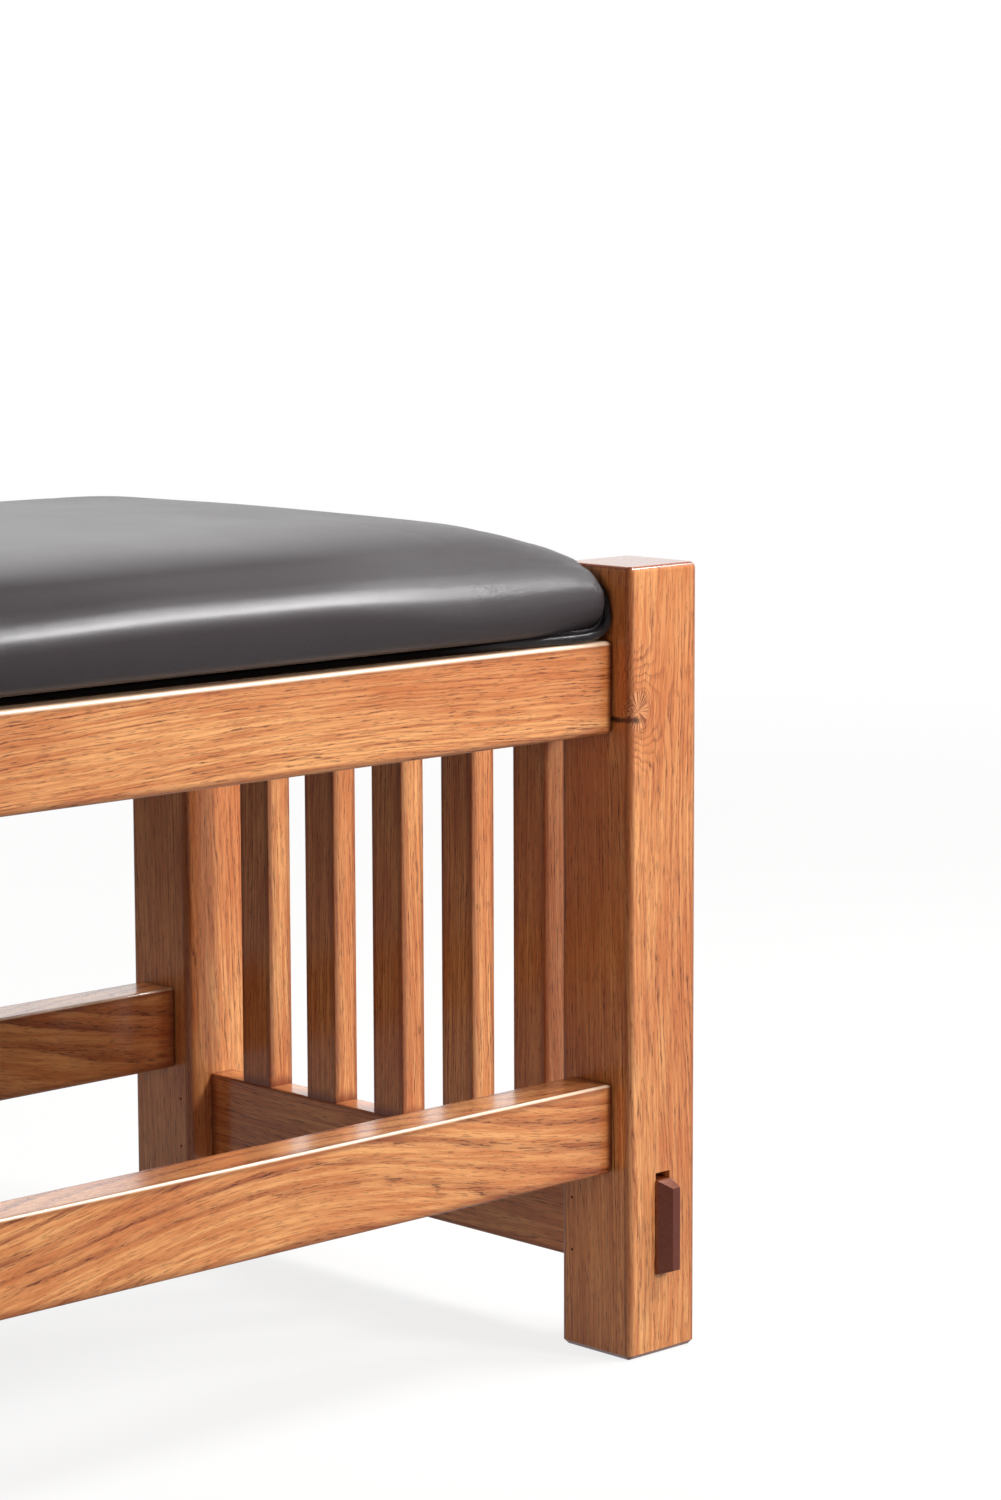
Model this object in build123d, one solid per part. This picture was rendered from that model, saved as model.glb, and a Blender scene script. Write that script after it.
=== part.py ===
"""A backless mission bench: a slatted oak frame under a crowned leather seat.

The origin is on the floor at the middle of the bench. X runs along it, the
front faces -Y and Z is up. Each piece is drawn once, at the right and the
back, and mirrored to its other places. All lengths are millimetres.
"""
import os
from math import sqrt

from build123d import *

# Overall sizes, over the faces of the posts
bench_length = 1219.0
bench_depth = 427.0

# Posts, which rise above the seat rails
post_width = 52.5
post_height = 436.0
post_arris_radius = 3.5
post_foot_chamfer = 2.5
post_rise = 40.0

# Long rails under the seat and long stretchers near the floor
rail_thickness = 29.0
rail_setback = 12.0
rail_shoulder_radius = 3.0
seat_rail_height = 50.5
seat_rail_arris_radius = 2.8
stretcher_bottom = 104.0
stretcher_height = 49.5
stretcher_arris_radius = 1.8

# End rails, centred in the posts
end_rail_thickness = 18.0
end_rail_arris_radius = 1.2
end_rail_bottom = 44.5
end_rail_height = 54.5

# Slats between the two end rails of each end, where the gaps beside the posts
# are a little narrower than those between slats
slat_count = 5
slat_width = 25.4
slat_end_gap_share = 0.9
slat_arris_radius = 1.0

# Mortises and tenons
tenon_thickness = 11.0
tenon_shoulder = 6.0
long_tenon_length = 28.0
tenon_gap = 2.0
joint_clearance = 0.1
mortise_end_gap = 1.0

# Through tenons of the lower end rails, which stand out of the posts
through_shoulder = 1.0
mouth_extra_height = 4.0
mouth_depth = 14.0
tip_projection = 8.5
tip_cheek = 1.5
tip_inner_bevel = 5.0
tip_outer_bevel = 0.4
tip_top_bevel = 4.0
tip_bottom_bevel = 2.2

# Stub tenons of the slats
slat_tenon_thickness = 8.0
slat_tenon_shoulder = 4.0
slat_tenon_length = 10.0

# Brads that lock the through tenons, at heights above the rail's lower edge
brad_diameter = 1.6
brad_length = 26.0
brad_sink = 0.6
brad_setback = 8.4
brad_heights = (10.5, 40.0)

# Seat: a plywood board under foam, in a leather cover that stands on a welt
welt_diameter = 5.5
welt_clearance = 0.3
leather_thickness = 1.5
board_thickness = 12.0
board_inset = 8.0
pad_height = 59.5
crown_drop = 6.0
end_crown_rise = 10.0
end_crown_drop = 23.0
shoulder_radius = 30.0
bulge = 3.0
base_draw = 6.0
flange_width = 32.0
dust_cover_thickness = 1.0
dust_cover_clearance = 0.5

# Path of each welt up the edge of the notch round a post, with drops from the crown
welt_base_inset = 14.0
welt_rise_inset = 1.5
welt_side_drop = 37.0
welt_shoulder_inset = 17.0
welt_shoulder_drop = 14.0
welt_top_drop = 12.0
welt_base_turn = 5.5
welt_rise_turn = 5.5
welt_side_turn = 12.0
welt_top_turn = 14.0
welt_end_gap = 1.0

# Corner blocks and the bearer at mid-length, which carry the board
block_leg = 84.0
block_height = 32.0
bearer_width = 44.0
bearer_height = 34.0
bearer_tenon_length = 9.0

# Screws
screw_diameter = 4.0
screw_head_diameter = 8.0
screw_head_height = 2.4
screw_clearance = 0.1
seat_screw_bite = 9.0
seat_screw_edge = 12.0
rail_screw_length = 24.0
rail_screw_seat = 10.0
rail_screw_place = 17.0
counterbore_clearance = 1.0

# Faces and levels that several pieces share
half_length = bench_length / 2
half_depth = bench_depth / 2
post_inner_x = half_length - post_width
post_inner_y = half_depth - post_width
rail_outer_y = half_depth - rail_setback
rail_inner_y = rail_outer_y - rail_thickness
rail_mid_y = (rail_outer_y + rail_inner_y) / 2
end_mid_x = half_length - post_width / 2
end_outer_x = end_mid_x + end_rail_thickness / 2
end_inner_x = end_mid_x - end_rail_thickness / 2
seat_rail_top = post_height - post_rise
seat_rail_bottom = seat_rail_top - seat_rail_height
stretcher_top = stretcher_bottom + stretcher_height
end_rail_top = end_rail_bottom + end_rail_height
short_tenon_end = rail_mid_y - tenon_thickness / 2 - tenon_gap
welt_radius = welt_diameter / 2
notch_gap = welt_diameter + 2 * welt_clearance
cover_bottom = seat_rail_top + welt_diameter
board_bottom = cover_bottom + leather_thickness
board_top = board_bottom + board_thickness
crown_height = cover_bottom + pad_height
tip_y = half_depth + tip_projection
screw_hole = screw_diameter + 2 * screw_clearance


def block(x, y, z):
    """A square-cornered block between pairs of x, y and z values."""
    middle = Pos((x[0] + x[1]) / 2, (y[0] + y[1]) / 2, (z[0] + z[1]) / 2)
    return middle * Box(x[1] - x[0], y[1] - y[0], z[1] - z[0])


def around(middle, width):
    """The two values half a width either side of a middle."""
    return (middle - width / 2, middle + width / 2)


def placed(piece, side, face):
    """Mirror a piece from the right (+1) and the back (+1) to its own place."""
    if side < 0:
        piece = piece.mirror(Plane.YZ)
    if face < 0:
        piece = piece.mirror(Plane.XZ)
    return piece


def in_corners(piece):
    """A piece and its mirror images at all four corners."""
    return [placed(piece, side, face) for side in (-1, 1) for face in (-1, 1)]


def loosened(x, y, z):
    """A mortise's block: a tenon's block with the glue gap on every side."""
    gap = joint_clearance
    return block((x[0] - gap, x[1] + gap), (y[0] - gap, y[1] + gap), (z[0] - gap, z[1] + gap))


def rod(start, direction, length, diameter):
    """A round rod from a point along a direction."""
    plane = Plane(origin=start, z_dir=direction)
    return plane * Cylinder(diameter / 2, length, align=(Align.CENTER, Align.CENTER, Align.MIN))


# Tenons, as their x, y and z extents at the right and back

def long_tenon(bottom, height):
    """Blind tenon of a long rail, in a post's inner face."""
    return (
        (post_inner_x, post_inner_x + long_tenon_length),
        around(rail_mid_y, tenon_thickness),
        (bottom + tenon_shoulder, bottom + height - tenon_shoulder),
    )


def short_tenon():
    """Blind tenon of an upper end rail, which stops short of the long one."""
    return (
        around(end_mid_x, tenon_thickness),
        (post_inner_y, short_tenon_end),
        (seat_rail_bottom + tenon_shoulder, seat_rail_top - tenon_shoulder),
    )


def through_tenon():
    """Straight part of a lower end rail's tenon, to just past the post."""
    return (
        around(end_mid_x, tenon_thickness),
        (post_inner_y, half_depth + tip_cheek),
        (end_rail_bottom + through_shoulder, end_rail_top - through_shoulder),
    )


def slat_middles():
    """Y places of the slats, which part the opening between the posts."""
    opening = 2 * post_inner_y
    gap = (opening - slat_count * slat_width) / (slat_count - 1 + 2 * slat_end_gap_share)
    first = -post_inner_y + slat_end_gap_share * gap + slat_width / 2
    return [first + index * (slat_width + gap) for index in range(slat_count)]


def slat_tenon(middle, z):
    """Stub tenon of one slat over a pair of z values."""
    width = slat_width - 2 * slat_tenon_shoulder
    return (around(end_mid_x, slat_tenon_thickness), around(middle, width), z)


# Wooden frame

def brad_axes():
    """Starts of the two brads of the right back post, on its inner face."""
    y = post_inner_y + brad_setback
    return [(post_inner_x, y, end_rail_bottom + height) for height in brad_heights]


def brad_holes():
    """Holes for the brads, through the post's wall and the tenon."""
    width = brad_diameter + joint_clearance
    length = brad_sink + brad_length + joint_clearance
    return [rod(start, (1, 0, 0), length, width) for start in brad_axes()]


def post():
    """Square post with rounded arrises, four mortises and its brad holes."""
    body = block((post_inner_x, half_length), (post_inner_y, half_depth), (0, post_height))
    body = fillet(body.edges().filter_by(Axis.Z), post_arris_radius)
    body = fillet(body.faces().sort_by(Axis.Z)[-1].edges(), post_arris_radius)
    body = chamfer(body.faces().sort_by(Axis.Z)[0].edges(), post_foot_chamfer)
    for bottom, height in ((seat_rail_bottom, seat_rail_height), (stretcher_bottom, stretcher_height)):
        x, y, z = long_tenon(bottom, height)
        body -= loosened((x[0], x[1] + mortise_end_gap), y, z)
    x, y, z = short_tenon()
    body -= loosened(x, (y[0], y[1] + mortise_end_gap), z)
    x, y, z = through_tenon()
    body -= loosened(x, y, z)
    body -= loosened(x, (half_depth - mouth_depth, y[1]), (z[1], z[1] + mouth_extra_height))
    for hole in brad_holes():
        body -= hole
    return body


def long_rail(bottom, height, arris_radius):
    """Long rail or stretcher at the back, with rounded shoulders and end tenons."""
    top = bottom + height
    rail = block((-post_inner_x, post_inner_x), (rail_inner_y, rail_outer_y), (bottom, top))
    shoulders = rail.faces().filter_by(Axis.X)
    rail = fillet(shoulders.edges(), rail_shoulder_radius)
    rail = fillet(rail.edges().filter_by(Axis.X), arris_radius)
    tenon = block(*long_tenon(bottom, height))
    return rail + tenon + tenon.mirror(Plane.YZ)


def seat_rail():
    """Rail under the seat, with mortises for the bearer and screw holes."""
    rail = long_rail(seat_rail_bottom, seat_rail_height, seat_rail_arris_radius)
    rail -= loosened(*bearer_tenon())
    hole = rod(*long_screw_seat(), rail_screw_length, screw_hole)
    return rail - hole - hole.mirror(Plane.YZ)


def stretcher():
    """Stretcher near the floor, at the back."""
    return long_rail(stretcher_bottom, stretcher_height, stretcher_arris_radius)


def end_rail(bottom, height):
    """Body of a rail across the right end, between the two posts."""
    x = (end_inner_x, end_outer_x)
    rail = block(x, (-post_inner_y, post_inner_y), (bottom, bottom + height))
    return fillet(rail.edges().filter_by(Axis.Y), end_rail_arris_radius)


def upper_end_rail():
    """Upper end rail, with blind tenons and the slats' mortises under it."""
    rail = end_rail(seat_rail_bottom, seat_rail_height)
    tenon = block(*short_tenon())
    rail = rail + tenon + tenon.mirror(Plane.XZ)
    depth = slat_tenon_length + mortise_end_gap
    for middle in slat_middles():
        rail -= loosened(*slat_tenon(middle, (seat_rail_bottom, seat_rail_bottom + depth)))
    hole = rod(*short_screw_seat(), rail_screw_length, screw_hole)
    return rail - hole - hole.mirror(Plane.XZ)


def tenon_tip():
    """Bevelled tip of a through tenon, broadest on the side towards the seat."""
    x, y, z = through_tenon()
    root = Plane(origin=(0, y[1], 0), x_dir=(1, 0, 0), z_dir=(0, -1, 0))
    end = Plane(origin=(0, tip_y, 0), x_dir=(1, 0, 0), z_dir=(0, -1, 0))
    end_x = (x[0] + tip_inner_bevel, x[1] - tip_outer_bevel)
    end_z = (z[0] + tip_bottom_bevel, z[1] - tip_top_bevel)
    outlines = []
    for plane, wide, tall in ((root, x, z), (end, end_x, end_z)):
        outline = Rectangle(wide[1] - wide[0], tall[1] - tall[0])
        outlines.append(plane * Pos((wide[0] + wide[1]) / 2, (tall[0] + tall[1]) / 2) * outline)
    return loft(outlines, ruled=True)


def lower_end_rail():
    """Lower end rail, with a through tenon at each end, slat mortises and brad holes."""
    rail = end_rail(end_rail_bottom, end_rail_height)
    tenon = block(*through_tenon()) + tenon_tip()
    rail = rail + tenon + tenon.mirror(Plane.XZ)
    depth = slat_tenon_length + mortise_end_gap
    for middle in slat_middles():
        rail -= loosened(*slat_tenon(middle, (end_rail_top - depth, end_rail_top)))
    for hole in brad_holes():
        rail -= hole
        rail -= hole.mirror(Plane.XZ)
    return rail


def slat(middle):
    """One flat slat of the right end, with a stub tenon at each end."""
    z = (end_rail_top, seat_rail_bottom)
    body = block((end_inner_x, end_outer_x), around(middle, slat_width), z)
    body = fillet(body.edges().filter_by(Axis.Z), slat_arris_radius)
    reach = (z[0] - slat_tenon_length, z[1] + slat_tenon_length)
    return body + block(*slat_tenon(middle, reach))


def brads():
    """The two brads of every post, set just under its inner face."""
    pieces = []
    for x, y, z in brad_axes():
        pieces += in_corners(rod((x + brad_sink, y, z), (1, 0, 0), brad_length, brad_diameter))
    return pieces


# Seat supports and screws

def bearer_tenon():
    """Stub tenon of the bearer in the back seat rail."""
    return (
        around(0, bearer_width - 2 * tenon_shoulder),
        (rail_inner_y, rail_inner_y + bearer_tenon_length),
        (cover_bottom - bearer_height + tenon_shoulder, seat_rail_top - tenon_shoulder),
    )


def bearer():
    """Bearer across the frame at mid-length, level with the pad's underside."""
    z = (cover_bottom - bearer_height, cover_bottom)
    body = block(around(0, bearer_width), (-rail_inner_y, rail_inner_y), z)
    tenon = block(*bearer_tenon())
    body = body + tenon + tenon.mirror(Plane.XZ)
    x, y = bearer_screw_place()
    hole = rod((x, y, z[0]), (0, 0, 1), bearer_height, screw_hole)
    return body - hole - hole.mirror(Plane.XZ)


def corner_block():
    """Diagonal block in the right back corner of the rails, notched round the post."""
    bottom = cover_bottom - block_height
    corner = (end_inner_x, rail_inner_y)
    along = (corner[0] - block_leg, corner[1])
    across = (corner[0], corner[1] - block_leg)
    outline = make_face(Polyline(corner, along, across, close=True))
    body = Pos(0, 0, bottom) * extrude(outline, block_height)
    body -= block((post_inner_x, half_length), (post_inner_y, half_depth), (0, post_height))
    for start, direction in (long_screw_seat(), short_screw_seat()):
        body -= rod(start, direction, rail_screw_seat, screw_hole)
        body -= rod(start, reverse(direction), block_leg, screw_head_diameter + counterbore_clearance)
    return body - rod((*corner_screw_place(), bottom), (0, 0, 1), block_height, screw_hole)


def reverse(direction):
    """The opposite of a direction."""
    return tuple(-value for value in direction)


def long_screw_seat():
    """Where a block's screw into the seat rail has its head, and its direction."""
    x = end_inner_x - block_leg + rail_screw_place
    z = seat_rail_top - block_height / 2
    return (x, rail_inner_y - rail_screw_seat, z), (0, 1, 0)


def short_screw_seat():
    """Where a block's screw into the end rail has its head, and its direction."""
    y = rail_inner_y - block_leg + rail_screw_place
    z = seat_rail_top - block_height / 2
    return (end_inner_x - rail_screw_seat, y, z), (1, 0, 0)


def screw(start, direction, length):
    """A round-head screw: a shank, and a domed head behind its start."""
    head = rod(start, reverse(direction), screw_head_height, screw_head_diameter)
    rim = head.edges().filter_by(GeomType.CIRCLE).sort_by(Axis(start, reverse(direction)))[-1]
    return fillet(rim, screw_head_height / 2) + rod(start, direction, length, screw_diameter)


def corner_screw_place():
    """Plan place of the screw up through the right back block."""
    offset = (block_leg - seat_screw_edge * sqrt(2)) / 2
    return end_inner_x - offset, rail_inner_y - offset


def bearer_screw_place():
    """Plan place of the screw up through the bearer's back end."""
    return 0, rail_inner_y - flange_width


def seat_screw_axes():
    """Start and length of the screws up into the board, at the right and the back."""
    bite = leather_thickness + seat_screw_bite
    return [
        ((*corner_screw_place(), cover_bottom - block_height), block_height + bite),
        ((*bearer_screw_place(), cover_bottom - bearer_height), bearer_height + bite),
    ]


def seat_screws():
    """The screws that hold the pad down, through the blocks and the bearer."""
    (corner_start, corner_length), (bearer_start, bearer_length) = seat_screw_axes()
    bearer_screw = screw(bearer_start, (0, 0, 1), bearer_length)
    corner_screws = in_corners(screw(corner_start, (0, 0, 1), corner_length))
    return corner_screws + [bearer_screw, bearer_screw.mirror(Plane.XZ)]


def drilled(piece):
    """A flat piece of the pad with the seat screws' pilot holes."""
    for start, length in seat_screw_axes():
        for hole in in_corners(rod(start, (0, 0, 1), length + screw_clearance, screw_hole)):
            piece -= hole
    return piece


def block_screws():
    """The screws that hold the corner blocks to the rails."""
    long_screw = screw(*long_screw_seat(), rail_screw_length)
    short_screw = screw(*short_screw_seat(), rail_screw_length)
    return in_corners(long_screw) + in_corners(short_screw)


# Upholstered seat

def crown_radius(half_span, drop):
    """Radius of the arc that falls by a drop over half the seat."""
    return (half_span * half_span + drop * drop) / (2 * drop)


def seat_section(half_span, top, drop, inset):
    """Closed outline across the seat: flat base, swelling sides and crown."""
    face = half_span + bulge - inset
    base = (half_span + bulge - base_draw - inset, cover_bottom + inset)
    crown = top - inset
    shoulder = shoulder_radius - inset
    large = crown_radius(half_span, drop) - inset
    level = crown - large + sqrt((large - shoulder) ** 2 - (face - shoulder) ** 2)
    reach = large / (large - shoulder)
    turn = ((face - shoulder) * reach, crown - large + (level - crown + large) * reach)
    side = (face, level)
    left_turn = (-turn[0], turn[1])
    left_side = (-face, level)
    left_base = (-base[0], base[1])
    lines = [
        Line(left_base, base),
        TangentArc(side, base, tangent=(0, -1)),
        TangentArc(side, turn, tangent=(0, 1)),
        ThreePointArc(turn, (0, crown), left_turn),
        TangentArc(left_side, left_turn, tangent=(0, 1)),
        TangentArc(left_side, left_base, tangent=(0, -1)),
    ]
    return make_face(Wire(lines))


def notched(form, inset):
    """A piece of the pad cut back from the posts by the welt's gap and an inset."""
    x = (post_inner_x - notch_gap - inset, half_length)
    y = (post_inner_y - notch_gap - inset, half_depth)
    for notch in in_corners(block(x, y, (0, crown_height + end_crown_rise))):
        form -= notch
    return form


def seat_form(inset):
    """The crowned seat, notched round the posts, drawn in by an inset."""
    across = Plane(origin=(-half_length, 0, 0), x_dir=(0, 1, 0), z_dir=(1, 0, 0))
    along = Plane(origin=(0, half_depth, 0), x_dir=(1, 0, 0), z_dir=(0, -1, 0))
    across_face = across * seat_section(rail_outer_y, crown_height, crown_drop, inset)
    end_top = crown_height + end_crown_rise
    along_face = along * seat_section(end_outer_x, end_top, end_crown_drop, inset)
    return notched(extrude(across_face, bench_length) & extrude(along_face, bench_depth), inset)


def board_form(bottom):
    """The board's notched outline, from a level up to its top."""
    x = end_outer_x + bulge - base_draw - board_inset
    y = rail_outer_y + bulge - base_draw - board_inset
    return notched(block((-x, x), (-y, y), (bottom, board_top)), board_inset)


def seat_board():
    """Plywood board of the pad, with the screws' pilot holes."""
    return drilled(board_form(board_bottom))


def foam_core():
    """Foam over and round the board."""
    return seat_form(leather_thickness) - board_form(0)


def underside_opening(clearance, z):
    """The open middle of the leather's turned edge, less a clearance."""
    x = post_inner_x - notch_gap - flange_width - clearance
    y = post_inner_y - notch_gap - flange_width - clearance
    return block((-x, x), (-y, y), z)


def leather_cover():
    """Leather skin over the foam, turned in under the board."""
    skin = seat_form(0) - seat_form(leather_thickness)
    return drilled(skin - underside_opening(0, (0, board_bottom)))


def dust_cover():
    """Thin cloth under the board, inside the leather's turned edge."""
    z = (board_bottom - dust_cover_thickness, board_bottom)
    return underside_opening(dust_cover_clearance, z)


def welt(end, outer, top):
    """Welt cord along the base of the back, with both ends up the notches' edges."""
    base_z = seat_rail_top + welt_radius
    base = outer - welt_base_inset
    rise = outer - welt_rise_inset
    half = [
        (end, base, base_z),
        (end, rise, base_z),
        (end, rise, crown_height - welt_side_drop),
        (end, outer - welt_shoulder_inset, crown_height - welt_shoulder_drop),
        (end, top, crown_height - welt_top_drop),
    ]
    other_half = [(-x, y, z) for x, y, z in reversed(half)]
    turns = [welt_base_turn, welt_rise_turn, welt_side_turn, welt_top_turn]
    path = FilletPolyline(*other_half, *half, radius=turns[::-1] + turns)
    section = Plane(origin=path @ 0, z_dir=path % 0) * Circle(welt_radius)
    return sweep(section, path)


def long_welt():
    """Welt of the back, which also closes the notches' inner corners."""
    end = post_inner_x - welt_clearance - welt_radius
    return welt(end, rail_outer_y, post_inner_y - notch_gap + welt_end_gap)


def end_welt():
    """Welt of the right end, whose ends stop beside the long welts."""
    end = post_inner_y - welt_clearance - welt_radius
    cord = welt(end, end_outer_x, post_inner_x + welt_end_gap)
    return cord.rotate(Axis.Z, -90)


# Every piece in its place

def make_parts():
    """Each node's name with its solid or its group of solids."""
    sides = (("left", -1), ("right", 1))
    faces = (("front", -1), ("back", 1))
    parts = {}
    for face_name, face in faces:
        parts[f"{face_name}_seat_rail"] = placed(seat_rail(), 1, face)
        parts[f"{face_name}_stretcher"] = placed(stretcher(), 1, face)
        parts[f"{face_name}_welt"] = placed(long_welt(), 1, face)
        for side_name, side in sides:
            parts[f"{face_name}_{side_name}_post"] = placed(post(), side, face)
            parts[f"{face_name}_{side_name}_corner_block"] = placed(corner_block(), side, face)
    for side_name, side in sides:
        parts[f"{side_name}_upper_end_rail"] = placed(upper_end_rail(), side, 1)
        parts[f"{side_name}_lower_end_rail"] = placed(lower_end_rail(), side, 1)
        parts[f"{side_name}_welt"] = placed(end_welt(), side, 1)
        for index, middle in enumerate(slat_middles(), start=1):
            parts[f"{side_name}_slat_{index}"] = placed(slat(middle), side, 1)
    parts["center_bearer"] = bearer()
    parts["seat_board"] = seat_board()
    parts["foam_core"] = foam_core()
    parts["leather_cover"] = leather_cover()
    parts["dust_cover"] = dust_cover()
    parts["tenon_brads"] = Compound(children=brads())
    parts["block_screws"] = Compound(children=block_screws())
    parts["seat_screws"] = Compound(children=seat_screws())
    return parts


# Write one file for each node
os.makedirs("parts", exist_ok=True)
for name, shape in make_parts().items():
    export_step(shape, f"parts/{name}.step")
    print(name, round(shape.volume), [round(size, 1) for size in shape.bounding_box().size])
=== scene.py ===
# %% [markdown]
# # A mission bench of oak and leather
#
# The bench is a slatted oak frame with a firm leather seat between four posts.
# Its wooden parts arrive as a finished model. This lesson gives them oak, builds
# the leather seat and its trimmings, and sets up a small photo studio round them.
#
# Everything is in metres. X runs along the bench, the front faces -Y and Z is up.

# %% Load the bench
from math import cos, pi, radians, sin

import bmesh
import bpy
import numpy as np
from mathutils import Matrix, Vector


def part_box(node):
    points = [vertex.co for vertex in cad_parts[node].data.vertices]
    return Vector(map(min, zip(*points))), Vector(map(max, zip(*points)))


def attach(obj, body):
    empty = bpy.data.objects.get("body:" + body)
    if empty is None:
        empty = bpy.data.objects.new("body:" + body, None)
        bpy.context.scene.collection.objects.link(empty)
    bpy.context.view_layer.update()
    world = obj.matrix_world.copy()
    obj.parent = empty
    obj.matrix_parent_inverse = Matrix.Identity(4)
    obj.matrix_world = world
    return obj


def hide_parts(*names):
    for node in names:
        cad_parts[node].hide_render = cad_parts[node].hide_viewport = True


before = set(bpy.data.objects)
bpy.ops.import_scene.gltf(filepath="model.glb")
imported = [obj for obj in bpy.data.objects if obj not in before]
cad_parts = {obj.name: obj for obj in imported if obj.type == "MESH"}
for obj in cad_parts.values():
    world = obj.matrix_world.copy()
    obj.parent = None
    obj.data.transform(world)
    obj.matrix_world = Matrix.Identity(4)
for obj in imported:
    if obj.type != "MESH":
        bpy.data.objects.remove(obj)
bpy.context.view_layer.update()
scene = bpy.context.scene
scene.view_settings.view_transform = "Standard"

# %% [markdown]
# ## The camera
#
# The photograph looks at the right end of the bench from the left and from a
# little above, through a long lens. A camera can be aimed with a Track To
# constraint, but its place and its three angles are known here, so its three axes
# are worked out and go straight into its matrix.

# %% Aim the camera
camera_place = Vector((-0.9861, -1.7202, 0.6432))
camera_turn = radians(43.847)
camera_tilt = radians(8.054)
camera_roll = radians(-0.178)
camera_lens = 97.64

ahead = Vector((sin(camera_turn) * cos(camera_tilt), cos(camera_turn) * cos(camera_tilt), -sin(camera_tilt)))
level_right = Vector((cos(camera_turn), -sin(camera_turn), 0))
level_up = level_right.cross(ahead)
right = level_right * cos(camera_roll) + level_up * sin(camera_roll)
up = level_up * cos(camera_roll) - level_right * sin(camera_roll)

camera = bpy.data.objects.new("camera", bpy.data.cameras.new("camera"))
scene.collection.objects.link(camera)
scene.camera = camera
camera.data.lens = camera_lens
axes = Matrix((right, up, -ahead)).transposed().to_4x4()
camera.matrix_world = Matrix.Translation(camera_place) @ axes
print("camera looks along", tuple(round(value, 3) for value in ahead))

# %% [markdown]
# ## Helpers for node materials
#
# A material is a small tree of nodes. Adding each node by hand takes four or five
# lines, so a few short functions add a node, set its inputs and return its output.
# An input may be a plain value or another node's output.

# %% Node helpers
def colour(red, green, blue):
    """A colour picked on screen, from 0 to 255, as Blender's linear light."""
    shares = (value / 255 for value in (red, green, blue))
    return (*(s / 12.92 if s <= 0.04045 else ((s + 0.055) / 1.055) ** 2.4 for s in shares), 1)


def grey(share):
    """A plain grey, as a share of white in linear light."""
    return (share, share, share, 1)


def add_node(tree, kind, inputs=(), **settings):
    """A new node with its settings and its inputs, by name or by number."""
    node = tree.nodes.new("ShaderNode" + kind)
    for name, value in settings.items():
        setattr(node, name, value)
    for key, value in dict(inputs).items():
        if isinstance(value, bpy.types.NodeSocket):
            tree.links.new(value, node.inputs[key])
        else:
            node.inputs[key].default_value = value
    return node


def calc(tree, operation, *values):
    """A number worked out from one, two or three numbers."""
    return add_node(tree, "Math", enumerate(values), operation=operation).outputs[0]


def vector_calc(tree, operation, *values):
    """A vector worked out from vectors, or the length of one."""
    node = add_node(tree, "VectorMath", enumerate(values), operation=operation)
    return node.outputs[1 if operation == "LENGTH" else 0]


def spread(tree, value, low, high, to_low=0.0, to_high=1.0):
    """A number moved smoothly from one range to another, and held at its ends."""
    numbers = (value, low, high, to_low, to_high)
    node = add_node(tree, "MapRange", enumerate(numbers), interpolation_type="SMOOTHSTEP")
    return node.outputs[0]


def noise(tree, vector, stretch, detail=2.0, rough=0.5):
    """Cloudy noise, with as many clouds to the metre along each axis as stretch says."""
    scaled = vector_calc(tree, "MULTIPLY", vector, stretch)
    inputs = {"Vector": scaled, "Scale": 1.0, "Detail": detail, "Roughness": rough}
    return add_node(tree, "TexNoise", inputs).outputs


def mix(tree, share, first, second, blend="MIX"):
    """Two colours mixed by a share."""
    inputs = {0: share, 6: first, 7: second}
    return add_node(tree, "Mix", inputs, data_type="RGBA", blend_type=blend).outputs[2]


def new_material(name, **numbers):
    """A material with one Principled shader, whose plain numbers are set at once."""
    material = bpy.data.materials.new(name)
    material.use_nodes = True
    shader = material.node_tree.nodes["Principled BSDF"]
    for socket, value in numbers.items():
        shader.inputs[socket.replace("_", " ")].default_value = value
    return material, material.node_tree, shader


def finish_shader(tree, shader, shade, rough, height, depth):
    """Link a colour, a roughness and a height of some depth into the shader."""
    bump = add_node(tree, "Bump", {"Height": height, "Distance": depth, "Strength": 1.0})
    tree.links.new(shade, shader.inputs["Base Color"])
    tree.links.new(rough, shader.inputs["Roughness"])
    tree.links.new(bump.outputs[0], shader.inputs["Normal"])


def dress(node_names, material):
    """Give solids of the bench a material."""
    for name in node_names:
        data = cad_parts[name].data
        data.materials.clear()
        data.materials.append(material)


print("helpers ready")

# %% [markdown]
# ## The studio: floor, backdrop and world
#
# The bench was photographed on white, with lamps to the front right and little
# light from the left. The camera sees a white floor and a white backdrop. In
# reflections the backdrop behind grows brighter up to a third of the way overhead,
# and the ceiling, the front and the floor to the left are dim, so lacquer
# and leather stay deep in colour and still gleam at a slant. The light that wood
# and floor throw back and forth is warm, so the sky's share of light is too.

# %% Floor and world
floor_width = 12.0
floor_tone_lit = 0.30
floor_tone_seen = 0.90
floor_glow_share = 0.82
floor_glow_span = (1.2, 3.5)
floor_gleam_left = 0.12
floor_gleam_right = 0.50
floor_gleam_span = (-0.5, 1.2)
sky_light = 0.20
sky_colour = (1.0, 0.84, 0.68, 1)
left_to_right = (-0.35, 0.35)
dark_side_light = 0.30
dark_side_gleam = 0.12
front_gleam = 0.40
front_to_back = (-0.6, 0.1)
high_gleam = 2.0
high_gleam_span = (0.17, 0.45)
ceiling_gleam = 0.02
ceiling_edge = (0.55, 0.62)


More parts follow.
